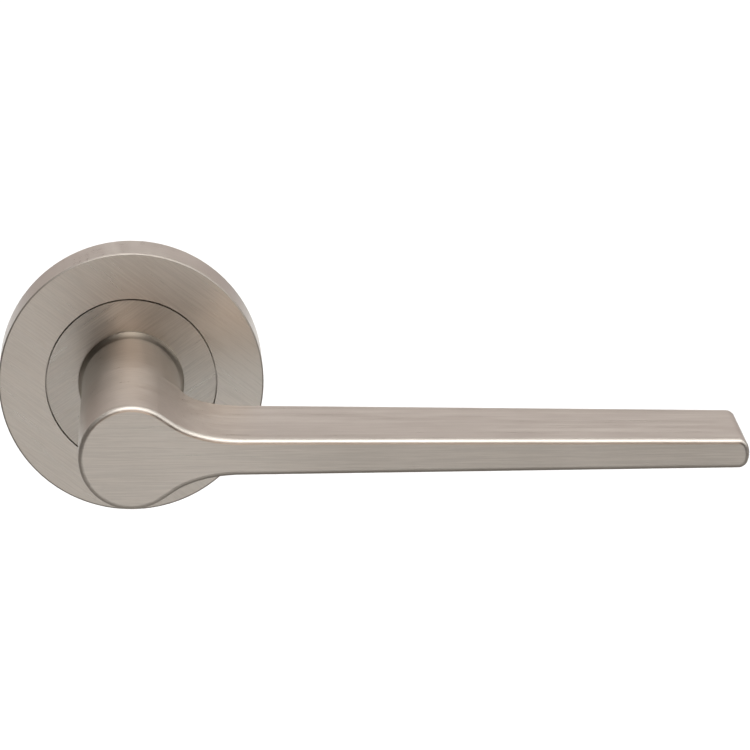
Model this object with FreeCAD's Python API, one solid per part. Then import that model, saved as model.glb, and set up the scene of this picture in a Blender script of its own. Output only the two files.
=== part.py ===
import FreeCAD, Part
import math
import os

# Door lever handle on a round rose, one side of a bolt-through set.
# Millimetres. The origin is the centre of the rose's back face, on the spindle's axis.
# The door lies on +Y, the handle stands out towards -Y, the grip reaches along +X, +Z is up.

os.makedirs("parts", exist_ok=True)

V = FreeCAD.Vector

# Overall sizes
ROSE_R = 26.0
ROSE_DEPTH = 11.1
PROJECTION = 66.5
GRIP_REACH = 115.0
SPINDLE_SIDE = 8.0
RIM_TO_BOLT = 7.0

# Clearances, and how far a shape runs into the one it is fused with
FIT_GAP = 0.02
TURN_GAP = 0.05
SEAT_GAP = 0.1
AXIAL_GAP = 0.05
STOP_GAP_DEG = 0.3
SIGHT_GAP = 0.3
LUG_GAP = 0.4
JOIN = 0.5

# Grip and neck
HUB_R = 9.9
NECK_FOOT_R = 10.4
NECK_WAIST_R = 9.6
FLARE_LENGTH = 3.0
GRIP_HALF_ROOT = 3.42
GRIP_HALF_TIP = 2.76
GRIP_ROOT_X = 21.0
GRIP_DEPTH_ROOT = 26.2
GRIP_DEPTH_TIP = 21.9
GRIP_EDGE_R = 0.9
GRIP_END_BULGE = 1.0
GRIP_END_R = 1.9
GRIP_REAR_CORNER_R = 3.0
NECK_FILLET_R = 3.5
FOOT_EDGE_R = 0.3

# Spigot, the turning shaft cast on the neck
SPIGOT_R = 8.5
SPIGOT_END_Y = 3.0
SPIGOT_FLAT_CUT = 0.9
GROOVE_DEPTH = 0.6
SOCKET_DEPTH = 34.0

# Rose cover
COVER_WALL = 1.8
COVER_FACE = 2.0
COVER_EDGE = 0.25
COVER_HOLE_R = 16.9

# Mounting plate
PLATE_T = 4.0
PLATE_LIP = 0.8
PLATE_LIP_W = 2.2
LUG_R = 4.0
LUG_LENGTH = 6.0
RING_GROOVE_W = 1.4
RING_GROOVE_DEPTH = 1.0
RING_WIRE_R = 0.5

# Spring housing
HEAD_TO_HOUSING = 1.0
HOUSING_WALL = 1.6
SHOULDER_R = 18.4
SHOULDER_T = 1.5
FRONT_WALL = 3.1
BACK_PLATE_T = 1.3
KEY_W = 4.0
KEY_REACH = 1.9
KEY_LENGTH = 3.0
THIRD_BLOCK_DEG = 190.0
STOP_WIDTH_DEG = 46.0

# Bushes and washers
NECK_WASHER_T = 0.25
BUSH_WALL = 1.4
BUSH_FLANGE_T = 0.6
WASHER_W = 2.5
WASHER_T = 0.5
WAVE_INSET = 0.4
CIRCLIP_T = 0.9
CIRCLIP_W = 1.4
CIRCLIP_GAP_DEG = 50.0
CIRCLIP_EYE_R = 1.3
CIRCLIP_EYE_HOLE_R = 0.6
CIRCLIP_EYE_DEG = 7.0

# Drive cam and spring
CAM_T = 2.0
CAM_W = 1.4
CAM_LUG_HALF_DEG = 12.0
CAM_FINGER_T = 1.5
CAM_FINGER_INSET = 0.6
TRAVEL_DEG = 40.0
SPRING_WIRE_R = 0.4
SPRING_TO_SPIGOT = 0.45
SPRING_PITCH = 0.95
SPRING_FULL_TURNS = 2.0
SPRING_LEG_ROOM_DEG = 8.0

# Fasteners
BOLT_R = 2.0
BOLT_HEAD_R = 3.5
BOLT_HEAD_T = 2.2
BOLT_END_Y = 44.0
SLEEVE_R = 3.2
SLEEVE_HEAD_R = 4.0
SLEEVE_HEAD_T = 2.0
SLEEVE_START_Y = 32.0
SLEEVE_END_Y = 50.0
WOOD_SCREW_R = 1.75
WOOD_NECK_R = 1.95
WOOD_HEAD_R = 3.6
WOOD_SCREW_END_Y = 20.0
WOOD_TIP = 5.0
WOOD_TIP_R = 0.2
RECESS_HALF = 1.8
RECESS_DEPTH = 1.2
SMALL_SCREW_R = 0.8
SMALL_HEAD_R = 1.25
SMALL_HEAD_T = 0.6
SMALL_SCREW_LENGTH = 3.6
SMALL_SLOT_W = 0.3
GRUB_R = 2.45
GRUB_Y = -21.0
GRUB_KEY = 2.5
GRUB_KEY_DEPTH = 2.2
GRUB_SINK = 0.6
SPINDLE_START_Y = -30.0
SPINDLE_END_Y = 58.0
SPINDLE_CHAMFER = 0.8

# Planes along the spindle that several pieces share
FACE_Y = -ROSE_DEPTH
FRONT_Y = -PROJECTION
FOOT_Y = FACE_Y - NECK_WASHER_T - SEAT_GAP
SHOULDER_Y = FACE_Y + COVER_FACE + SEAT_GAP
CAVITY_FRONT_Y = FACE_Y + FRONT_WALL
HOUSING_BACK_Y = -PLATE_LIP - AXIAL_GAP
CAVITY_BACK_Y = HOUSING_BACK_Y - BACK_PLATE_T
CAM_FRONT_Y = CAVITY_FRONT_Y + BUSH_FLANGE_T + AXIAL_GAP
CAM_BACK_Y = CAM_FRONT_Y + CAM_T
THRUST_Y = HOUSING_BACK_Y + BUSH_FLANGE_T + AXIAL_GAP
WAVE_Y = THRUST_Y + WASHER_T
CLIP_Y = WAVE_Y + WASHER_T

# Radii and widths that follow from the sizes above
BOLT_CENTRES = 2 * (ROSE_R - RIM_TO_BOLT)
HOUSING_R = BOLT_CENTRES / 2 - BOLT_HEAD_R - HEAD_TO_HOUSING
BORE_R = SPIGOT_R + TURN_GAP
DISC_R = COVER_HOLE_R - SIGHT_GAP
CAVITY_R = HOUSING_R - HOUSING_WALL
SPIGOT_FLAT = SPIGOT_R - SPIGOT_FLAT_CUT
SPRING_R = SPIGOT_R + SPRING_TO_SPIGOT + SPRING_WIRE_R
CAM_R = SPIGOT_R + CAM_W
CAM_LUG_R = CAVITY_R - LUG_GAP
STOP_INNER_R = CAM_R + SIGHT_GAP
BUSH_FLANGE_R = STOP_INNER_R - SEAT_GAP
WASHER_R = SPIGOT_R + WASHER_W
CIRCLIP_R = SPIGOT_R + CIRCLIP_W
SMALL_SCREW_CIRCLE_R = (STOP_INNER_R + CAVITY_R) / 2
PLATE_LIP_R = HOUSING_R - PLATE_LIP_W
PLATE_R = ROSE_R - COVER_WALL - SEAT_GAP
SOCKET_SIDE = SPINDLE_SIDE + SEAT_GAP
STOP_START_DEG = CAM_LUG_HALF_DEG + STOP_GAP_DEG


def rod(radius, y0, y1, x=0.0, z=0.0):
    return Part.makeCylinder(radius, y1 - y0, V(x, y0, z), V(0, 1, 0))


def ring(outer, inner, y0, y1):
    return rod(outer, y0, y1).cut(rod(inner, y0 - 1, y1 + 1))


def block(x0, x1, y0, y1, z0, z1):
    return Part.makeBox(x1 - x0, y1 - y0, z1 - z0, V(x0, y0, z0))


def turned(shape, degrees):
    # Positive degrees carry +X down towards -Z, the way the lever is pressed.
    copy = shape.copy()
    copy.rotate(V(0, 0, 0), V(0, 1, 0), degrees)
    return copy


def sector(outer, inner, y0, y1, middle_deg, width_deg):
    # A slice of a ring. Its angles run from +Z towards +X.
    solid = Part.makeCylinder(outer, y1 - y0, V(0, 0, 0), V(0, 0, 1), width_deg)
    hole = Part.makeCylinder(inner, y1 - y0 + 2, V(0, 0, -1), V(0, 0, 1), 360)
    solid = solid.cut(hole)
    solid.rotate(V(0, 0, 0), V(1, 0, 0), -90)
    solid.translate(V(0, y0, 0))
    return turned(solid, middle_deg - 90 - width_deg / 2)


def revolved(points):
    # Points are radius and Y, and the outline turns about the spindle's axis.
    outline = [V(r, y, 0) for r, y in points]
    outline.append(outline[0])
    face = Part.Face(Part.makePolygon(outline))
    return face.revolve(V(0, 0, 0), V(0, 1, 0), 360)


def save(name, shape):
    shape.exportStep("parts/" + name + ".step")


def grip_half_height(x):
    run = (x - GRIP_ROOT_X) / (GRIP_REACH - GRIP_ROOT_X)
    return GRIP_HALF_ROOT + (GRIP_HALF_TIP - GRIP_HALF_ROOT) * run


def teardrop_edge(sign):
    # The S-shaped side of the hub, from its round top down to the grip.
    leave = math.radians(60)
    start = V(HUB_R * math.cos(leave), 0, sign * HUB_R * math.sin(leave))
    end = V(GRIP_ROOT_X, 0, sign * GRIP_HALF_ROOT)
    drop = HUB_R * math.sin(leave) - GRIP_HALF_ROOT
    run = GRIP_ROOT_X - HUB_R * math.cos(leave)
    mid_a = V(start.x + run * 0.25, 0, sign * (GRIP_HALF_ROOT + drop * 0.49))
    mid_b = V(start.x + run * 0.52, 0, sign * (GRIP_HALF_ROOT + drop * 0.17))
    curve = Part.BSplineCurve()
    down = V(math.sin(leave), 0, -sign * math.cos(leave))
    slope = (GRIP_HALF_TIP - GRIP_HALF_ROOT) / (GRIP_REACH - GRIP_ROOT_X)
    along = V(1, 0, sign * slope)
    curve.interpolate([start, mid_a, mid_b, end], InitialTangent=down, FinalTangent=along)
    return start, end, curve.toShape()


def grip_outline():
    # The grip seen from the front: round hub, two S-shaped sides, a slightly bulging end.
    upper_start, upper_end, upper = teardrop_edge(1)
    lower_start, lower_end, lower = teardrop_edge(-1)
    corner_x = GRIP_REACH - GRIP_END_BULGE
    corner_z = grip_half_height(corner_x)
    top, bottom = V(corner_x, 0, corner_z), V(corner_x, 0, -corner_z)
    edges = [
        Part.Arc(lower_start, V(-HUB_R, 0, 0), upper_start).toShape(),
        upper,
        Part.LineSegment(upper_end, top).toShape(),
        Part.Arc(top, V(GRIP_REACH, 0, 0), bottom).toShape(),
        Part.LineSegment(bottom, lower_end).toShape(),
        lower,
    ]
    return Part.Face(Part.Wire(Part.__sortEdges__(edges)))


def grip_plan():
    # The grip seen from above: square front, sloping rear, a fillet into the neck.
    root_y = FRONT_Y + GRIP_DEPTH_ROOT
    slope = (GRIP_DEPTH_TIP - GRIP_DEPTH_ROOT) / GRIP_REACH
    left = -HUB_R - 1
    neck_x = HUB_R - 0.5
    bend_x = neck_x + NECK_FILLET_R
    bend_y = root_y + slope * bend_x
    deep_y = bend_y + NECK_FILLET_R
    far_x = GRIP_REACH + 1
    corner_x = far_x - GRIP_REAR_CORNER_R
    corner_y = root_y + slope * corner_x
    side_y = corner_y - GRIP_REAR_CORNER_R
    turn = 1 - math.sqrt(0.5)
    neck_turn = NECK_FILLET_R * turn
    tip_turn = GRIP_REAR_CORNER_R * turn
    neck_mid = V(neck_x + neck_turn, bend_y + neck_turn, 0)
    tip_mid = V(far_x - tip_turn, corner_y - tip_turn, 0)
    edges = [
        Part.LineSegment(V(left, FRONT_Y, 0), V(far_x, FRONT_Y, 0)).toShape(),
        Part.LineSegment(V(far_x, FRONT_Y, 0), V(far_x, side_y, 0)).toShape(),
        Part.Arc(V(far_x, side_y, 0), tip_mid, V(corner_x, corner_y, 0)).toShape(),
        Part.LineSegment(V(corner_x, corner_y, 0), V(bend_x, bend_y, 0)).toShape(),
        Part.Arc(V(bend_x, bend_y, 0), neck_mid, V(neck_x, deep_y, 0)).toShape(),
        Part.LineSegment(V(neck_x, deep_y, 0), V(left, deep_y, 0)).toShape(),
        Part.LineSegment(V(left, deep_y, 0), V(left, FRONT_Y, 0)).toShape(),
    ]
    return Part.Face(Part.Wire(edges))


def grip_body():
    outline = grip_outline()
    outline.translate(V(0, FRONT_Y - 1, 0))
    bar = outline.extrude(V(0, PROJECTION, 0))
    corner_x = GRIP_REACH - GRIP_END_BULGE - 0.01
    corners = [e for e in bar.Edges if e.BoundBox.XMin > corner_x and e.Length > PROJECTION - 1]
    bar = bar.makeFillet(GRIP_END_R, corners)
    plan = grip_plan()
    plan.translate(V(0, 0, -2 * HUB_R))
    return bar.common(plan.extrude(V(0, 0, 4 * HUB_R)))


def smooth_grip():
    # Round the front rim first, then the rear rim from the tip to the neck.
    body = grip_body()
    front = [e for e in body.Edges if e.BoundBox.YMax < FRONT_Y + 0.01]
    body = body.makeFillet(GRIP_EDGE_R, front)
    rear_y = FRONT_Y + GRIP_DEPTH_TIP - GRIP_REAR_CORNER_R - 0.5
    back = []
    for edge in body.Edges:
        box = edge.BoundBox
        if box.XMin > HUB_R and box.YMin > rear_y and box.XMax > HUB_R + NECK_FILLET_R:
            back.append(edge)
    return body.makeFillet(GRIP_EDGE_R, back)


def neck_body():
    # A turned column that flares at its foot, and is as wide as the hub where the grip leaves it.
    growth = NECK_FOOT_R - NECK_WAIST_R
    flare_r = (FLARE_LENGTH ** 2 + growth ** 2) / (2 * growth)
    half = math.asin(FLARE_LENGTH / flare_r) / 2
    rim_y = FOOT_Y - FOOT_EDGE_R
    waist_y = rim_y - FLARE_LENGTH
    front_y = FRONT_Y + GRIP_DEPTH_TIP / 2
    full_y = FRONT_Y + GRIP_DEPTH_ROOT + NECK_FILLET_R
    rim, waist = V(NECK_FOOT_R, rim_y, 0), V(NECK_WAIST_R, waist_y, 0)
    middle = V(NECK_WAIST_R + flare_r * (1 - math.cos(half)), waist_y + flare_r * math.sin(half), 0)
    before = [V(0, FOOT_Y, 0), V(NECK_FOOT_R - FOOT_EDGE_R, FOOT_Y, 0), rim]
    after = [waist, V(HUB_R, full_y, 0), V(HUB_R, front_y, 0), V(0, front_y, 0), before[0]]
    wires = [Part.makePolygon(before), Part.Arc(rim, middle, waist).toShape(), Part.makePolygon(after)]
    return Part.Face(Part.Wire(wires)).revolve(V(0, 0, 0), V(0, 1, 0), 360)


def spigot():
    shaft = rod(SPIGOT_R, FOOT_Y - 1, SPIGOT_END_Y)
    flat = block(SPIGOT_FLAT, SPIGOT_R + 1, CAM_FRONT_Y, SPIGOT_END_Y + 1, -SPIGOT_R, SPIGOT_R)
    shaft = shaft.cut(flat).cut(turned(flat, 180))
    clip_end = CLIP_Y + CIRCLIP_T + SEAT_GAP
    return shaft.cut(ring(SPIGOT_R + 1, SPIGOT_R - GROOVE_DEPTH, CLIP_Y, clip_end))


def lever_handle():
    body = smooth_grip().fuse(neck_body()).removeSplitter()
    body = body.fuse(spigot())
    half = SOCKET_SIDE / 2
    body = body.cut(block(-half, half, SPIGOT_END_Y - SOCKET_DEPTH, SPIGOT_END_Y + 1, -half, half))
    grub_hole = Part.makeCylinder(GRUB_R + TURN_GAP, NECK_FOOT_R + 2, V(0, GRUB_Y, 0), V(0, 0, -1))
    return body.cut(grub_hole)


def spindle():
    half = SPINDLE_SIDE / 2
    bar = block(-half, half, SPINDLE_START_Y, SPINDLE_END_Y, -half, half)
    ends = [e for e in bar.Edges if abs(e.BoundBox.YMax - e.BoundBox.YMin) < 0.01]
    return bar.makeChamfer(SPINDLE_CHAMFER, ends)


def hex_key(across, depth, centre, direction):
    corner = across / math.sqrt(3)
    angles = [math.radians(60 * i) for i in range(7)]
    points = [V(corner * math.cos(a), corner * math.sin(a), 0) for a in angles]
    prism = Part.Face(Part.makePolygon(points)).extrude(V(0, 0, depth))
    prism.Placement = FreeCAD.Placement(centre, FreeCAD.Rotation(V(0, 0, 1), direction))
    return prism


def grub_screw():
    top = -SPINDLE_SIDE / 2 - FIT_GAP
    bottom = -NECK_WAIST_R + GRUB_SINK
    screw = Part.makeCylinder(GRUB_R, top - bottom, V(0, GRUB_Y, bottom), V(0, 0, 1))
    return screw.cut(hex_key(GRUB_KEY, GRUB_KEY_DEPTH, V(0, GRUB_Y, bottom), V(0, 0, 1)))


def neck_washer():
    return ring(NECK_FOOT_R - FOOT_EDGE_R, BORE_R, FACE_Y - NECK_WASHER_T, FACE_Y)


def front_bush():
    outer = BORE_R + BUSH_WALL
    flange_back = CAVITY_FRONT_Y + BUSH_FLANGE_T
    sleeve = ring(outer, BORE_R, FACE_Y + AXIAL_GAP, flange_back)
    return sleeve.fuse(ring(BUSH_FLANGE_R, outer - JOIN, CAVITY_FRONT_Y, flange_back))


def rear_bush():
    outer = BORE_R + BUSH_WALL
    flange_back = HOUSING_BACK_Y + BUSH_FLANGE_T
    sleeve = ring(outer, BORE_R, CAVITY_BACK_Y, flange_back)
    return sleeve.fuse(ring(WASHER_R, outer - JOIN, HOUSING_BACK_Y, flange_back))


def drive_cam():
    body = rod(CAM_R, CAM_FRONT_Y, CAM_BACK_Y)
    width = 2 * CAM_LUG_HALF_DEG
    finger_r = CAM_R + CAM_FINGER_INSET
    lug = sector(CAM_LUG_R, CAM_R - JOIN, CAM_FRONT_Y, CAM_BACK_Y, 0, width)
    finger = sector(CAM_LUG_R, finger_r, CAM_FRONT_Y, CAM_BACK_Y + CAM_FINGER_T, 0, width)
    hole = rod(BORE_R, CAM_FRONT_Y - 1, CAM_BACK_Y + 1)
    flat = SPIGOT_FLAT + TURN_GAP
    keep = block(flat, BORE_R + 1, CAM_FRONT_Y - 2, CAM_BACK_Y + 2, -BORE_R, BORE_R)
    hole = hole.cut(keep).cut(turned(keep, 180))
    return body.fuse([lug, finger]).cut(hole).removeSplitter()


def return_spring():
    # One length of wire: a straight leg, the coils round the spigot, a second straight leg.
    # The first leg presses on the cam's finger and the second on a stop block.
    touch_r = (CAM_R + CAM_LUG_R) / 2
    swing_deg = math.degrees(math.acos(SPRING_R / touch_r))
    leg_length = math.sqrt(touch_r ** 2 - SPRING_R ** 2)
    beside_deg = math.degrees((SPRING_WIRE_R + SEAT_GAP) / CAM_R)
    start_deg = CAM_LUG_HALF_DEG + beside_deg + swing_deg
    end_deg = STOP_START_DEG + TRAVEL_DEG + SPRING_LEG_ROOM_DEG - beside_deg - swing_deg
    turns = SPRING_FULL_TURNS + (end_deg - start_deg) / 360
    height = SPRING_PITCH * turns
    helix = Part.makeHelix(SPRING_PITCH, height, SPRING_R)
    rise = SPRING_PITCH / (2 * math.pi)
    last = 2 * math.pi * turns
    start = V(SPRING_R, 0, 0)
    end = V(SPRING_R * math.cos(last), SPRING_R * math.sin(last), height)
    start_way = V(0, SPRING_R, rise).normalize()
    end_way = V(-SPRING_R * math.sin(last), SPRING_R * math.cos(last), rise).normalize()
    first_tip = start - start_way * leg_length
    first_leg = Part.LineSegment(first_tip, start).toShape()
    second_leg = Part.LineSegment(end, end + end_way * leg_length).toShape()
    path = Part.Wire([first_leg] + helix.Edges + [second_leg])
    profile = Part.Wire(Part.makeCircle(SPRING_WIRE_R, first_tip, start_way))
    spring = path.makePipeShell([profile], True, True)
    spring.rotate(V(0, 0, 0), V(1, 0, 0), -90)
    spring.translate(V(0, CAM_BACK_Y + SPRING_WIRE_R + 2 * SEAT_GAP, 0))
    return turned(spring, start_deg - 90)


def thrust_washer():
    return ring(WASHER_R, BORE_R, THRUST_Y, WAVE_Y - FIT_GAP)


def wave_washer():
    return ring(WASHER_R - WAVE_INSET, BORE_R, WAVE_Y, CLIP_Y - FIT_GAP)


def circlip():
    inner = SPIGOT_R - GROOVE_DEPTH + TURN_GAP
    start, end = CLIP_Y + AXIAL_GAP, CLIP_Y + AXIAL_GAP + CIRCLIP_T
    clip = ring(CIRCLIP_R, inner, start, end)
    clip = clip.cut(sector(CIRCLIP_R + 2, inner - 1, start - 1, end + 1, 180, CIRCLIP_GAP_DEG))
    for side in (-1, 1):
        away = math.radians(180 + side * (CIRCLIP_GAP_DEG / 2 + CIRCLIP_EYE_DEG))
        x, z = CIRCLIP_R * math.sin(away), CIRCLIP_R * math.cos(away)
        clip = clip.fuse(rod(CIRCLIP_EYE_R, start, end, x, z))
        clip = clip.cut(rod(CIRCLIP_EYE_HOLE_R, start - 1, end + 1, x, z))
    return clip


def block_angles():
    first = -STOP_START_DEG - STOP_WIDTH_DEG / 2
    second = STOP_START_DEG + TRAVEL_DEG + STOP_WIDTH_DEG / 2
    return first, second, THIRD_BLOCK_DEG


def stop_blocks():
    # Two blocks stop the cam's lug, and all three carry the back plate and its screws.
    first, second, third = block_angles()
    front = CAVITY_FRONT_Y - JOIN
    outer = CAVITY_R + JOIN
    room = SPRING_LEG_ROOM_DEG
    narrow = STOP_WIDTH_DEG - room
    return [
        sector(outer, STOP_INNER_R, front, CAVITY_BACK_Y, first, STOP_WIDTH_DEG),
        sector(outer, STOP_INNER_R, front, CAM_BACK_Y, second, STOP_WIDTH_DEG),
        sector(outer, STOP_INNER_R, CAM_BACK_Y - JOIN, CAVITY_BACK_Y, second + room / 2, narrow),
        sector(outer, STOP_INNER_R, front, CAVITY_BACK_Y, third, STOP_WIDTH_DEG / 2),
    ]


def spring_housing():
    body = rod(DISC_R, FACE_Y, SHOULDER_Y + JOIN)
    body = body.fuse(rod(SHOULDER_R, SHOULDER_Y, SHOULDER_Y + SHOULDER_T))
    body = body.fuse(rod(HOUSING_R, SHOULDER_Y, HOUSING_BACK_Y))
    for angle in (45, 225):
        reach = HOUSING_R + KEY_REACH
        key = block(HOUSING_R - 1, reach, -PLATE_T, KEY_LENGTH - PLATE_T, -KEY_W / 2, KEY_W / 2)
        body = body.fuse(turned(key, angle))
    body = body.cut(rod(CAVITY_R, CAVITY_FRONT_Y, HOUSING_BACK_Y + 1))
    body = body.cut(rod(BORE_R + BUSH_WALL + FIT_GAP, FACE_Y - 1, CAVITY_FRONT_Y + 1))
    body = body.fuse(stop_blocks())
    deep = CAVITY_BACK_Y - SMALL_SCREW_LENGTH
    for angle in block_angles():
        hole = rod(SMALL_SCREW_R + FIT_GAP, deep, HOUSING_BACK_Y, 0, SMALL_SCREW_CIRCLE_R)
        body = body.cut(turned(hole, angle))
    return body.removeSplitter()


def small_screw(grow):
    # A countersunk screw through the back plate, pointing into a block.
    head_y = HOUSING_BACK_Y - SMALL_HEAD_T
    far = CAVITY_BACK_Y - SMALL_SCREW_LENGTH
    place = V(0, head_y, SMALL_SCREW_CIRCLE_R)
    head = Part.makeCone(SMALL_SCREW_R + grow, SMALL_HEAD_R + grow, SMALL_HEAD_T, place, V(0, 1, 0))
    return head.fuse(rod(SMALL_SCREW_R + grow, far, head_y + SMALL_HEAD_T / 2, 0, SMALL_SCREW_CIRCLE_R))


def housing_back_plate():
    hole_r = BORE_R + BUSH_WALL + FIT_GAP
    plate = ring(CAVITY_R - SEAT_GAP, hole_r, CAVITY_BACK_Y, HOUSING_BACK_Y)
    for angle in block_angles():
        plate = plate.cut(turned(small_screw(TURN_GAP), angle))
    return plate


def housing_screws():
    slot_y = HOUSING_BACK_Y - SMALL_HEAD_T / 2
    half = SMALL_SLOT_W / 2
    slot = block(-SMALL_HEAD_R, SMALL_HEAD_R, slot_y, HOUSING_BACK_Y + 1, -half, half)
    slot.translate(V(0, 0, SMALL_SCREW_CIRCLE_R))
    screw = small_screw(0).cut(slot)
    return Part.makeCompound([turned(screw, angle) for angle in block_angles()])


def rose_cover():
    outline = [
        (COVER_HOLE_R, FACE_Y),
        (ROSE_R - COVER_EDGE, FACE_Y),
        (ROSE_R, FACE_Y + COVER_EDGE),
        (ROSE_R, 0),
        (ROSE_R - COVER_WALL, 0),
        (ROSE_R - COVER_WALL, FACE_Y + COVER_FACE),
        (COVER_HOLE_R, FACE_Y + COVER_FACE),
    ]
    return revolved(outline)


def mounting_plate():
    body = rod(PLATE_R, -PLATE_T, 0)
    half = BOLT_CENTRES / 2
    for side in (-1, 1):
        body = body.fuse(rod(LUG_R, -1, LUG_LENGTH, side * half))
    body = body.cut(rod(PLATE_LIP_R, -PLATE_T - 1, 1))
    body = body.cut(rod(HOUSING_R + SEAT_GAP, -PLATE_T - 1, -PLATE_LIP))
    for angle in (45, 225):
        reach = HOUSING_R + KEY_REACH + SEAT_GAP
        side = KEY_W / 2 + SEAT_GAP
        deep = KEY_LENGTH + SEAT_GAP - PLATE_T
        notch = block(HOUSING_R - 1, reach, -PLATE_T - 1, deep, -side, side)
        body = body.cut(turned(notch, angle))
    for side in (-1, 1):
        body = body.cut(rod(BOLT_R + SEAT_GAP, -PLATE_T - 1, LUG_LENGTH + 1, side * half))
        body = body.cut(rod(BOLT_HEAD_R + SEAT_GAP, -PLATE_T - 1, -PLATE_T + BOLT_HEAD_T, side * half))
        body = body.cut(wood_screw(side * half, SEAT_GAP))
    groove_y = -PLATE_T / 2
    half_w = RING_GROOVE_W / 2
    return body.cut(ring(PLATE_R + 1, PLATE_R - RING_GROOVE_DEPTH, groove_y - half_w, groove_y + half_w))


def friction_ring():
    centre_r = PLATE_R - RING_GROOVE_DEPTH + RING_WIRE_R + FIT_GAP
    return Part.makeTorus(centre_r, RING_WIRE_R, V(0, -PLATE_T / 2, 0), V(0, 1, 0))


def cross_recess(x, z):
    # The driver's cross in the front of a screw head.
    front, back = -PLATE_T - 1, -PLATE_T + RECESS_DEPTH
    long, thin = RECESS_HALF, RECESS_HALF / 4
    level = block(x - long, x + long, front, back, z - thin, z + thin)
    return level.fuse(block(x - thin, x + thin, front, back, z - long, z + long))


def through_bolts():
    bolts = []
    for side in (-1, 1):
        x = side * BOLT_CENTRES / 2
        head = rod(BOLT_HEAD_R, -PLATE_T, -PLATE_T + BOLT_HEAD_T, x)
        bolt = head.fuse(rod(BOLT_R, -PLATE_T + 1, BOLT_END_Y, x))
        bolts.append(bolt.cut(cross_recess(x, 0)))
    return Part.makeCompound(bolts)


def bolt_sleeves():
    sleeves = []
    for side in (-1, 1):
        x = side * BOLT_CENTRES / 2
        body = rod(SLEEVE_R, SLEEVE_START_Y, SLEEVE_END_Y, x)
        body = body.fuse(rod(SLEEVE_HEAD_R, SLEEVE_END_Y - SLEEVE_HEAD_T, SLEEVE_END_Y, x))
        sleeves.append(body.cut(rod(BOLT_R + FIT_GAP, SLEEVE_START_Y - 1, BOLT_END_Y + 2, x)))
    return Part.makeCompound(sleeves)


def wood_screw(z, grow):
    head_y = -PLATE_T - grow
    drop = WOOD_HEAD_R - WOOD_NECK_R
    tip_y = WOOD_SCREW_END_Y - WOOD_TIP
    place = V(0, -PLATE_T, z)
    cone = Part.makeCone(WOOD_HEAD_R + grow, WOOD_NECK_R + grow, drop, place, V(0, 1, 0))
    neck = rod(WOOD_NECK_R + grow, head_y, 0, 0, z)
    shank = rod(WOOD_SCREW_R + grow, -1, tip_y, 0, z)
    tip = Part.makeCone(WOOD_SCREW_R + grow, WOOD_TIP_R, WOOD_TIP, V(0, tip_y, z), V(0, 1, 0))
    return cone.fuse([neck, shank, tip])


def wood_screws():
    screws = []
    for side in (-1, 1):
        z = side * BOLT_CENTRES / 2
        screws.append(wood_screw(z, 0).cut(cross_recess(0, z)))
    return Part.makeCompound(screws)


save("lever_handle", lever_handle())
save("spindle", spindle())
save("grub_screw", grub_screw())
save("neck_washer", neck_washer())
save("front_bush", front_bush())
save("rear_bush", rear_bush())
save("drive_cam", drive_cam())
save("return_spring", return_spring())
save("thrust_washer", thrust_washer())
save("wave_washer", wave_washer())
save("circlip", circlip())
save("spring_housing", spring_housing())
save("housing_back_plate", housing_back_plate())
save("housing_screws", housing_screws())
save("rose_cover", rose_cover())
save("mounting_plate", mounting_plate())
save("friction_ring", friction_ring())
save("through_bolts", through_bolts())
save("bolt_sleeves", bolt_sleeves())
save("wood_screws", wood_screws())
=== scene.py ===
import bpy
import math
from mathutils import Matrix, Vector


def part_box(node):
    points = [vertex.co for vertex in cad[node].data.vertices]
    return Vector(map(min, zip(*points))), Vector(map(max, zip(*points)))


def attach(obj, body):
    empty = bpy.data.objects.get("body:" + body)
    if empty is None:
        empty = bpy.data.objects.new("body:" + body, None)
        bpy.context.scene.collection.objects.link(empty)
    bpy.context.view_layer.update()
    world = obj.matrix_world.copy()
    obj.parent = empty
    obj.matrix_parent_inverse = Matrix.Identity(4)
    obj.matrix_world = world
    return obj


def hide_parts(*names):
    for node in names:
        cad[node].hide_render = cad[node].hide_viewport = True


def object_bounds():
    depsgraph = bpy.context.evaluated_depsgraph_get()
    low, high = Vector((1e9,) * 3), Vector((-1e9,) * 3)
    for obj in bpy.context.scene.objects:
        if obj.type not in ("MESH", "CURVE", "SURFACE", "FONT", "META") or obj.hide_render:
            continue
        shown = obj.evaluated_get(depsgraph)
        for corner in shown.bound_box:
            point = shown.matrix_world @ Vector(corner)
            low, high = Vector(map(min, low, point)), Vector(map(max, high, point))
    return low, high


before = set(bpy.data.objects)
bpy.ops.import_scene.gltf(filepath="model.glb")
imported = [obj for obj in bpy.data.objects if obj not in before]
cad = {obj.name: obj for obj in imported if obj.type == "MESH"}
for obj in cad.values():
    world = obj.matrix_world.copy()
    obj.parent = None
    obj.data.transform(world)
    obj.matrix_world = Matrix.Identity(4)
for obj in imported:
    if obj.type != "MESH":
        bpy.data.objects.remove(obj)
cad_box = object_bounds()


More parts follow.
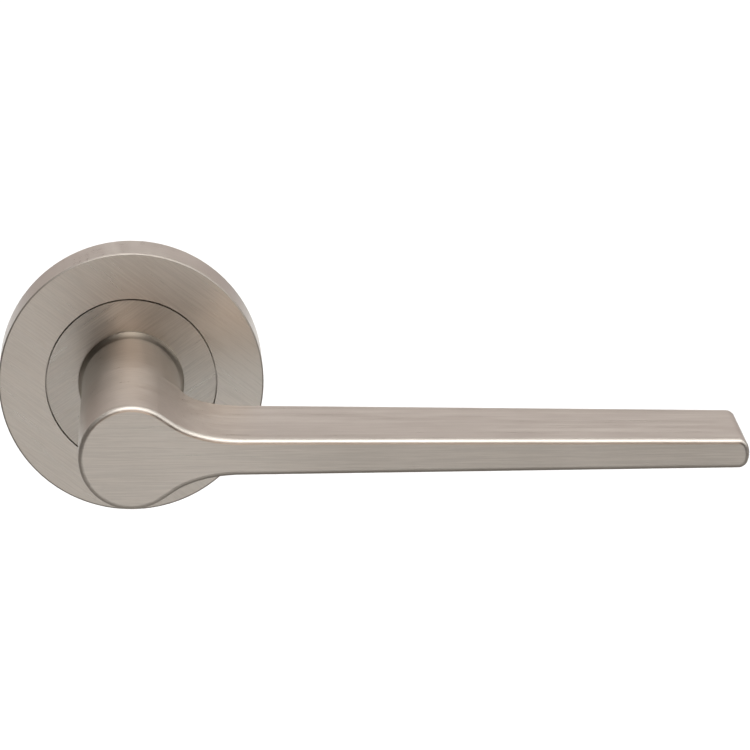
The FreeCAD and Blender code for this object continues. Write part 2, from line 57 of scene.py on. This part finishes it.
# The mounting plate is a zinc die casting that screws to the door and carries the rest.
# It is left as cast, grey and slightly grainy, and its two lugs stop it from turning.
class Sock:
    """A shader value that can be added, multiplied and so on like a number."""

    def __init__(self, shader, socket):
        self.shader = shader
        self.socket = socket

    def maths(self, operation, *others):
        values = {0: self, **dict(enumerate(others, 1))}
        return self.shader.node("ShaderNodeMath", 0, values, operation=operation)

    def __add__(self, other):
        return self.maths("ADD", other)

    def __mul__(self, other):
        return self.maths("MULTIPLY", other)

    def __sub__(self, other):
        return self.maths("SUBTRACT", other)

    def __rsub__(self, other):
        return self.shader.node("ShaderNodeMath", 0, {0: other, 1: self}, operation="SUBTRACT")

    def __neg__(self):
        return self * -1.0

    __radd__ = __add__
    __rmul__ = __mul__

    def ramp(self, low, high, start=0.0, end=1.0):
        ends = {"Value": self, "From Min": low, "From Max": high, "To Min": start, "To Max": end}
        return self.shader.node("ShaderNodeMapRange", "Result", ends, interpolation_type="SMOOTHSTEP")


class Shader:
    """A tree of shader nodes, for a finish or for the room."""

    def __init__(self, tree):
        self.tree = tree

    def feed(self, node, inputs):
        for name, value in inputs.items():
            if isinstance(value, Sock):
                self.tree.links.new(value.socket, node.inputs[name])
            else:
                node.inputs[name].default_value = value

    def node(self, kind, output, inputs, **settings):
        made = self.tree.nodes.new(kind)
        for name, value in settings.items():
            setattr(made, name, value)
        self.feed(made, inputs)
        return Sock(self, made.outputs[output])

    def split(self, vector):
        first = self.node("ShaderNodeSeparateXYZ", 0, {0: vector})
        return [Sock(self, port) for port in first.socket.node.outputs]

    def colour(self, amount, dark, light):
        # A Mix node keeps its two colours at inputs 6 and 7, and the result at output 2.
        return self.node("ShaderNodeMix", 2, {0: amount, 6: (*dark, 1), 7: (*light, 1)}, data_type="RGBA")


class Finish(Shader):
    """A node material with a principled surface, and the patterns that feed it."""

    def __init__(self, name):
        self.material = bpy.data.materials.new(name)
        self.material.use_nodes = True
        super().__init__(self.material.node_tree)
        self.surface = self.tree.nodes["Principled BSDF"]
        self.x, self.y, self.z = self.split(self.node("ShaderNodeTexCoord", "Object", {}))

    def noise(self, x, y, z, detail=2.0, roughness=0.5):
        place = self.node("ShaderNodeCombineXYZ", 0, {"X": x, "Y": y, "Z": z})
        inputs = {"Vector": place, "Scale": 1.0, "Detail": detail, "Roughness": roughness}
        return self.node("ShaderNodeTexNoise", 0, inputs)

    def cloud(self, scale, detail=2.0):
        return self.noise(self.x * scale, self.y * scale, self.z * scale, detail)

    def set(self, **inputs):
        self.feed(self.surface, {name.replace("_", " "): value for name, value in inputs.items()})

    def relief(self, height, strength, distance):
        inputs = {"Height": height, "Strength": strength, "Distance": distance}
        self.set(Normal=self.node("ShaderNodeBump", 0, inputs))

    def coat(self, *nodes):
        for name in nodes:
            cad[name].data.materials.clear()
            cad[name].data.materials.append(self.material)


plate = Finish("cast_zinc")
grain = plate.cloud(2600, detail=4.0)
flow = plate.cloud(130)
tone = (grain * 0.5 + flow * 0.5).ramp(0.3, 0.7)
plate.set(Base_Color=plate.colour(tone, (0.27, 0.275, 0.285), (0.43, 0.435, 0.44)))
plate.set(Metallic=0.92, Roughness=grain.ramp(0.3, 0.7, 0.40, 0.60))
plate.relief(grain, 0.35, 0.00003)
plate.coat("mounting_plate")


# Two countersunk wood screws hold the plate to the door before the handle goes on.
# They are rolled steel with bright zinc plating, a thick neck and a coarse, tapering thread.
def wave(turns):
    return 1 - abs(2 * (turns % 1) - 1)


def threaded(start, end, pitch, core, crest, taper=0.0):
    # Rings of a screw thread. The last stretch, as long as the taper, runs down to a point.
    steps = round((end - start) / pitch * 8)
    rings = []
    for i in range(steps + 1):
        place = start + (end - start) * i / steps
        left = min(1.0, (end - place) / taper + 0.12) if taper else 1.0
        begun = min(1.0, (place - start) / pitch)
        rings.append((place, core * left, (crest * left - core * left) * begun, pitch))
    return rings


def smooth(*outline):
    # Rings of a plain shank, from places along the axis and radii, with no thread on them.
    return [(place, radius, 0, 1) for place, radius in outline]


def lathe(verts, faces, rings, x, z, sides=48):
    # A ring is a place along the axis, a radius, and for a thread its height and pitch.
    first = len(verts)
    for place, radius, height, pitch in rings:
        for k in range(sides):
            r = radius + height * wave(place / pitch - k / sides)
            angle = 2 * math.pi * k / sides
            verts.append((x + r * math.sin(angle), place, z + r * math.cos(angle)))
    for i in range(len(rings) - 1):
        for k in range(sides):
            a, b = first + i * sides + k, first + i * sides + (k + 1) % sides
            faces.append((a, a + sides, b + sides, b))
    faces.append(tuple(range(first, first + sides)))
    faces.append(tuple(range(len(verts) - sides, len(verts)))[::-1])


def recess(verts, faces, x, z, front, depth, reach):
    # The cutter for a driver's cross, a twelve-cornered prism.
    thin, first = reach / 4, len(verts)
    side = ((thin, thin), (thin, reach), (-thin, reach), (-thin, thin), (-reach, thin), (-reach, -thin))
    outline = side + tuple((-u, -v) for u, v in side)
    for place in (front - depth, front + depth):
        verts.extend((x + u, place, z + v) for u, v in outline)
    for k in range(12):
        a, b = first + k, first + (k + 1) % 12
        faces.append((a, b, b + 12, a + 12))
    faces.append(tuple(range(first, first + 12))[::-1])
    faces.append(tuple(range(first + 12, first + 24)))


def fastener(name, node, rings, places, front):
    # Turn both screws, cut the cross in each head, and put them in the node's place.
    verts, faces, cut_verts, cut_faces = [], [], [], []
    for x, z in places:
        lathe(verts, faces, rings, x, z)
        recess(cut_verts, cut_faces, x, z, front, depth=0.0012, reach=0.0018)
    made = []
    for part, points, sides in ((name, verts, faces), ("cutter", cut_verts, cut_faces)):
        mesh = bpy.data.meshes.new(part)
        mesh.from_pydata(points, [], sides)
        mesh.materials.append(zinc.material)
        made.append(bpy.data.objects.new(part, mesh))
        bpy.context.scene.collection.objects.link(made[-1])
    screw, cutter = made
    cut = screw.modifiers.new("cross", "BOOLEAN")
    cut.object, cut.operation, cut.solver = cutter, "DIFFERENCE", "EXACT"
    ready = screw.evaluated_get(bpy.context.evaluated_depsgraph_get())
    screw.data = bpy.data.meshes.new_from_object(ready)
    screw.data.name = name
    screw.modifiers.clear()
    bpy.data.objects.remove(cutter)
    screw.data.shade_smooth()
    screw.data.set_sharp_from_angle(angle=math.radians(28))
    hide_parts(node)
    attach(screw, "rose")


zinc = Finish("zinc_plate")
place = zinc.node("ShaderNodeCombineXYZ", 0, {"X": zinc.x, "Y": zinc.y, "Z": zinc.z})
cells = zinc.node("ShaderNodeTexVoronoi", "Distance", {"Vector": place, "Scale": 900.0})
haze = zinc.cloud(200, detail=3.0)
tone = (cells * 0.4 + haze * 0.6).ramp(0.25, 0.65)
zinc.set(Base_Color=zinc.colour(tone, (0.56, 0.58, 0.61), (0.66, 0.68, 0.71)))
zinc.set(Metallic=1.0, Roughness=haze.ramp(0.3, 0.7, 0.31, 0.36))
zinc.relief(haze, 0.05, 0.00001)

low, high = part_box("wood_screws")
head_r, neck_r, shank_r, core_r = 0.0036, 0.00195, 0.00175, 0.0012
head = smooth((low[1], head_r - 0.00005), (low[1] + head_r - neck_r, neck_r), (-0.0002, neck_r))
shank = smooth((0.0, shank_r), (0.004, shank_r))
thread = threaded(0.0045, high[1], pitch=0.0016, core=core_r, crest=shank_r, taper=0.005)
out = high[2] - head_r
fastener("wood_screws_threaded", "wood_screws", head + shank + thread, ((0, out), (0, -out)), low[1])

# Two M4 bolts pass through the plate's lugs and the door into sleeves at the other side.
# They are zinc plated too, with a low round head and a fine thread to the end.
low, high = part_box("through_bolts")
head_r, head_t, head_round, bolt_r, core_r = 0.0035, 0.0022, 0.0009, 0.002, 0.00167
crown = []
for step in range(7):
    angle = math.radians(90 - 15 * step)
    crown.append((low[1] + head_round * (1 - math.sin(angle)), head_r - head_round * (1 - math.cos(angle))))
under_head = low[1] + head_t
shank = smooth(*crown, (under_head, head_r), (under_head, bolt_r), (0.001, bolt_r))
thread = threaded(0.0015, high[1], pitch=0.0007, core=core_r, crest=bolt_r)
out = high[0] - head_r
fastener("through_bolts_threaded", "through_bolts", shank + thread, ((out, 0), (-out, 0)), low[1])

# The sleeves are turned steel, zinc plated like the bolts that they take.
# Each one is a tube with a flat head, and its bolt draws it up from the door's far side.
zinc.coat("bolt_sleeves")

# The friction ring is a moulded rubber ring in the plate's groove, and it grips the cover.
# Rubber is nearly black, with a faint bloom that dulls it in places.
rubber = Finish("black_rubber")
bloom = rubber.cloud(400, detail=5.0)
rubber.set(Base_Color=rubber.colour(bloom.ramp(0.4, 0.75), (0.012, 0.012, 0.013), (0.05, 0.05, 0.052)))
rubber.set(Roughness=bloom.ramp(0.3, 0.7, 0.55, 0.8))
rubber.relief(bloom, 0.2, 0.00002)
rubber.coat("friction_ring")

# The spring housing is cast zinc, plated satin nickel. Its front disc is the rose's middle.
# The disc was linished in one direction, so its fine scratches run up to the right.
disc = Finish("satin_nickel_disc")
along = disc.x * 0.82 + disc.z * 0.57
across = disc.z * 0.82 - disc.x * 0.57
fine = disc.noise(along * 130, disc.y * 300, across * 3600, detail=4.0, roughness=0.7)
broad = disc.noise(along * 40, disc.y * 100, across * 900)
tone = (fine * 0.6 + broad * 0.25 + disc.cloud(60) * 0.15).ramp(0.40, 0.60)
disc.set(Base_Color=disc.colour(tone, (0.500, 0.475, 0.434), (0.600, 0.570, 0.520)))
disc.set(Metallic=1.0, Roughness=(fine * 0.6 + broad * 0.4).ramp(0.3, 0.7, 0.26, 0.40))
disc.set(Anisotropic=0.75, Anisotropic_Rotation=0.347)
disc.relief(fine, 0.08, 0.00001)
disc.coat("spring_housing")

# The bushes and the neck washer are turned from dark nylon, and they carry the spigot.
# Nylon has a soft sheen, with tool lines round the axis.
nylon = Finish("dark_nylon")
radius = (nylon.x * nylon.x + nylon.z * nylon.z).maths("SQRT")
lines = nylon.noise(radius * 9000, nylon.y * 9000, 0.0)
nylon.set(Base_Color=nylon.colour(lines.ramp(0.3, 0.7), (0.030, 0.028, 0.026), (0.060, 0.056, 0.052)))
nylon.set(Roughness=lines.ramp(0.3, 0.7, 0.38, 0.55))
nylon.relief(lines, 0.2, 0.00001)
nylon.coat("front_bush", "rear_bush", "neck_washer")

# The return spring, the circlip, the wave washer and the grub screw are hardened steel.
# They are oiled black, with fine drawn lines and paler spots that handling has rubbed.
spring = Finish("spring_steel")
drawn = spring.noise(spring.x * 1500, spring.y * 6000, spring.z * 1500, detail=3.0)
rub = spring.cloud(260, detail=4.0)
tone = (drawn * 0.5 + rub * 0.5).ramp(0.42, 0.72)
spring.set(Base_Color=spring.colour(tone, (0.10, 0.10, 0.105), (0.34, 0.335, 0.33)))
spring.set(Metallic=0.95, Roughness=rub.ramp(0.3, 0.7, 0.28, 0.48))
spring.relief(drawn, 0.25, 0.00001)
spring.coat("return_spring", "circlip", "wave_washer", "grub_screw")

# The drive cam, back plate and thrust washer are pressed steel with bright zinc plating.
# The spindle is drawn square bar, and all of them are plated in the same bath as the screws.
zinc.coat("drive_cam", "housing_back_plate", "thrust_washer", "housing_screws", "spindle")

# The lever handle is one zinc casting, plated satin nickel and brushed by hand.
# Brush lines run round the neck and the hub's side, and along the grip to the tip.
# The edges are rougher. Painted shade dims the edges' highlight, darkens the grip's front face and
# underside, and hides the highlight on the top of the neck's foot.
lever = Finish("satin_nickel_lever")
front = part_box("lever_handle")[0][1]
hub_side = lever.y.ramp(front + 0.0004, front + 0.0009) * lever.x.ramp(0.003, 0.010, 1.0, 0.0)
blend_start, blend_end, foot_start, foot_end = -0.043, -0.039, -0.0146, -0.0138
turned = lever.y.ramp(blend_start, blend_end).maths("MAXIMUM", hub_side)
angle = lever.x.maths("ARCTAN2", lever.z)
grip_fine = lever.noise(lever.x * 90, lever.y * 3600, lever.z * 3600, detail=4.0, roughness=0.7)
neck_fine = lever.noise(angle * 1.8, lever.y * 3000, 0.0, detail=4.0, roughness=0.7)
grip_broad = lever.noise(lever.x * 22, lever.y * 800, lever.z * 800)
neck_broad = lever.noise(angle * 0.8, lever.y * 700, 4.0)
fine = grip_fine + (neck_fine - grip_fine) * turned
broad = grip_broad + (neck_broad - grip_broad) * turned
cloud = lever.noise(lever.x * 45, lever.y * 60, lever.z * 60)
# A band along the front edge, rougher and with painted shade that dims its highlight.
rough_edge_painted_shade = lever.y.ramp(front + 0.00001, front + 0.00015)
rough_edge_painted_shade = rough_edge_painted_shade * lever.y.ramp(front + 0.0008, front + 0.0013, 1.0, 0.0)
# Painted shade on the grip's front face, away from the hub.
grip_front_painted_shade = lever.y.ramp(front + 0.0001, front + 0.0002, 1.0, 0.0) * lever.x.ramp(0.018, 0.045)
faces_up = lever.split(lever.node("ShaderNodeTexCoord", "Normal", {}))[2]
# Painted shade on the grip's downward faces.
underside_painted_shade = (faces_up * lever.x.ramp(0.0, 0.010)).ramp(-0.25, -0.75)
# Painted shade on the top of the neck's foot, which hides the highlight there.
foot_painted_shade = lever.y.ramp(foot_start, foot_end) * faces_up.ramp(0.1, 0.7)
tone = (fine * 0.6 + broad * 0.22 + cloud * 0.18).ramp(0.40, 0.60, 0.81, 1.0)
# The masks below paint shade into the brushed tone.
tone = tone * (1 - underside_painted_shade * 0.35) * (1 - foot_painted_shade * 0.75) * (1 - rough_edge_painted_shade * 0.15) * (1 - grip_front_painted_shade * 0.13)
lever.set(Base_Color=lever.colour(tone, (0.10, 0.080, 0.060), (0.598, 0.562, 0.512)))
gloss = (fine * 0.6 + broad * 0.4).ramp(0.3, 0.7, 0.27, 0.37)
lever.set(Metallic=1.0, Roughness=gloss + rough_edge_painted_shade * 0.22)
lever.relief(fine, 0.08, 0.00001)
lever.coat("lever_handle")

# The rose cover is a pressed ring, plated satin nickel, that hides plate and fixings.
# Its face was linished in one direction too, with scratches falling to the right.
cover = Finish("satin_nickel_cover")
low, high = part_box("rose_cover")
front, rose_r = low[1], high[0]
along = cover.x * 0.80 - cover.z * 0.60
across = cover.z * 0.80 + cover.x * 0.60
radius = (cover.x * cover.x + cover.z * cover.z).maths("SQRT")
angle = cover.x.maths("ARCTAN2", cover.z)
face_fine = cover.noise(along * 120, cover.y * 200, across * 3400, detail=4.0, roughness=0.7)
rim_fine = cover.noise(angle * 2.0, cover.y * 5000, 0.0, detail=3.0, roughness=0.6)
on_rim = radius.ramp(rose_r - 0.00015, rose_r - 0.00002)
# A band at the rim's front edge, rougher and with painted shade that dims its highlight.
rough_edge_painted_shade = radius.ramp(rose_r - 0.00035, rose_r - 0.00022)
rough_edge_painted_shade = rough_edge_painted_shade * cover.y.ramp(front + 0.00025, front + 0.0004, 1.0, 0.0)
fine = face_fine + (rim_fine - face_fine) * on_rim
broad = cover.noise(along * 36, cover.y * 100, across * 850)
tone = (fine * 0.6 + broad * 0.22 + cover.cloud(50) * 0.18).ramp(0.42, 0.58, 0.76, 1.03)
# Painted shade on the rim's front edge.
tone = tone * (1 - rough_edge_painted_shade * 0.75)
cover.set(Base_Color=cover.colour(tone, (0.30, 0.273, 0.243), (0.588, 0.555, 0.505)))
gloss = (fine * 0.6 + broad * 0.4).ramp(0.3, 0.7, 0.26, 0.40)
cover.set(Metallic=1.0, Roughness=gloss + rough_edge_painted_shade * 0.3)
cover.relief(fine, 0.08, 0.00001)
cover.coat("rose_cover")

# The floor is a wide sheet of paper, far enough below to carry no sharp shadow.
# It is white behind the handle and in a strip in front; the grey below it and at the sides is painted shade,
# which darkens what the metal reflects there.
paper = Finish("white_paper")
fibre = paper.cloud(40, detail=4.0)
behind = paper.y.ramp(0.5, 1.3)
ahead = paper.y.ramp(-1.4, -0.9, 1.0, 0.0) * paper.x.maths("ABSOLUTE").ramp(0.4, 1.6, 1.0, 0.0)
# Painted shade: the floor is grey wherever it is neither behind nor in the front strip.
pale_else_painted_shade = behind.maths("MAXIMUM", ahead) * (fibre * 0.06 + 0.94)
paper.set(Base_Color=paper.colour(pale_else_painted_shade, (0.30, 0.29, 0.28), (0.88, 0.90, 0.91)), Roughness=0.8)
reach, depth = 9, -0.6
corners = [(-reach, -reach, depth), (reach, -reach, depth), (reach, reach, depth), (-reach, reach, depth)]
sheet = bpy.data.meshes.new("floor")
sheet.from_pydata(corners, [], [(0, 1, 2, 3)])
sheet.materials.append(paper.material)
floor = bpy.data.objects.new("floor", sheet)
bpy.context.scene.collection.objects.link(floor)

# Soft studio light: a wide dome and a box overhead, and a box that whitens the floor behind.
# A smaller box stands high on the right, and brightens the grip's end a little.
lamp = bpy.data.lights.new("overhead_dome", "SUN")
lamp.energy, lamp.angle = 2.2, math.radians(54)
dome = bpy.data.objects.new("overhead_dome", lamp)
dome.rotation_euler = (math.radians(6), 0, 0)
bpy.context.scene.collection.objects.link(dome)
for name, place, width, height, power in (
    ("overhead_box", (0.0, -0.6, 1.3), 0.7, 0.9, 9.0),
    ("side_box", (1.0, -0.3, 0.75), 0.8, 1.0, 7.0),
    ("back_box", (0.1, 2.9, 2.2), 5.0, 2.4, 62.0),
):
    lamp = bpy.data.lights.new(name, "AREA")
    lamp.shape = "RECTANGLE"
    lamp.size, lamp.size_y, lamp.energy = width, height, power
    box = bpy.data.objects.new(name, lamp)
    box.location = place
    if name == "side_box":
        box.rotation_euler = Vector(place).to_track_quat("Z", "Y").to_euler()
    bpy.context.scene.collection.objects.link(box)

# The room has a pale pink wall behind and a tall, narrow, bright screen in front.
# Its sides are dark brown, and they put the dark streaks on the neck.
world = bpy.data.worlds.new("room")
world.use_nodes = True
bpy.context.scene.world = world
room = Shader(world.node_tree)
side, deep, up = room.split(room.node("ShaderNodeTexCoord", "Generated", {}))
wall = deep.ramp(0.35, 0.85) * up.ramp(0.25, 0.75, 1.0, 0.25)
screen = (-deep).ramp(0.35, 0.75) * side.maths("ABSOLUTE").ramp(0.02, 0.17, 1.0, 0.0)
strength = wall * 0.46 + screen * 2.0 + 0.05
tint = room.colour(wall, (1.0, 0.78, 0.65), (1.0, 0.85, 0.80))
room.feed(world.node_tree.nodes["Background"], {"Color": tint, "Strength": strength})

# The camera stands a little above and in front, close to square on to the rose.
# It has a long lens, so the grip hardly tapers towards its tip.
lens = bpy.data.cameras.new("camera")
lens.sensor_width, lens.lens = 36, 224.43
camera = bpy.data.objects.new("camera", lens)
camera.location = (0.001294, -0.9, 0.2349)
turn, tip, lean = math.radians(3.002), math.radians(14.713), math.radians(0.364)
ahead = Vector((math.sin(turn) * math.cos(tip), math.cos(turn) * math.cos(tip), -math.sin(tip)))
camera.rotation_euler = ahead.to_track_quat("-Z", "Y").to_euler()
camera.rotation_euler.rotate_axis("Z", lean)
bpy.context.scene.collection.objects.link(camera)
bpy.context.scene.camera = camera
bpy.context.scene.view_settings.view_transform = "Standard"

low, high = cad_box
